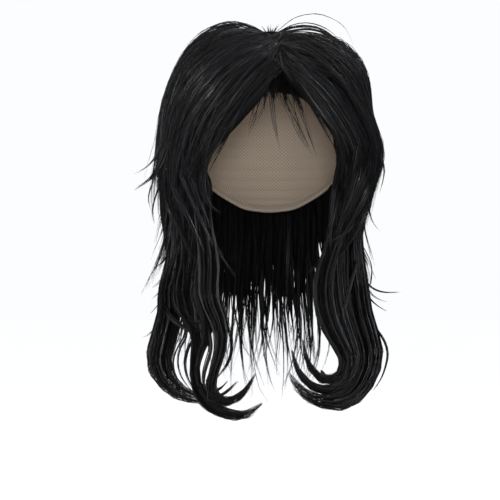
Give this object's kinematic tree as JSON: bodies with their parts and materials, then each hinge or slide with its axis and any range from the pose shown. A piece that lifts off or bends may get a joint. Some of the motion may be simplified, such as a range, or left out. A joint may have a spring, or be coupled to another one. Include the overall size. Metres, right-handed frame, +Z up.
{
  "type": "shaggy layered wig",
  "caption": "Shaggy shoulder-length wig: a hollow head cap under a parted curtain, wispy fringe, feathered crown and side layers, and long locks that curl in at the ends.",
  "frame": {"origin": "inside of the cap's top, where the crown of a head bears", "axes": "+Z up, -Y out of the face opening, +X to the right of someone who looks at the face"},
  "size_m": [0.2545, 0.2453, 0.3857],
  "materials": {
    "hair_fibre": "soft sheen of smooth black synthetic fibre",
    "cap_net": "matt black stretch net with a beige lining"
  },
  "bodies": {
    "root": {"cap": "cap_net", "fringe": "hair_fibre", "curtain_left": "hair_fibre", "curtain_right": "hair_fibre", "crown_layer": "hair_fibre", "side_layer_left": "hair_fibre", "side_layer_right": "hair_fibre", "back_layer": "hair_fibre", "long_layer_left": "hair_fibre", "long_layer_right": "hair_fibre", "nape_layer": "hair_fibre"}
  },
  "joints": []
}
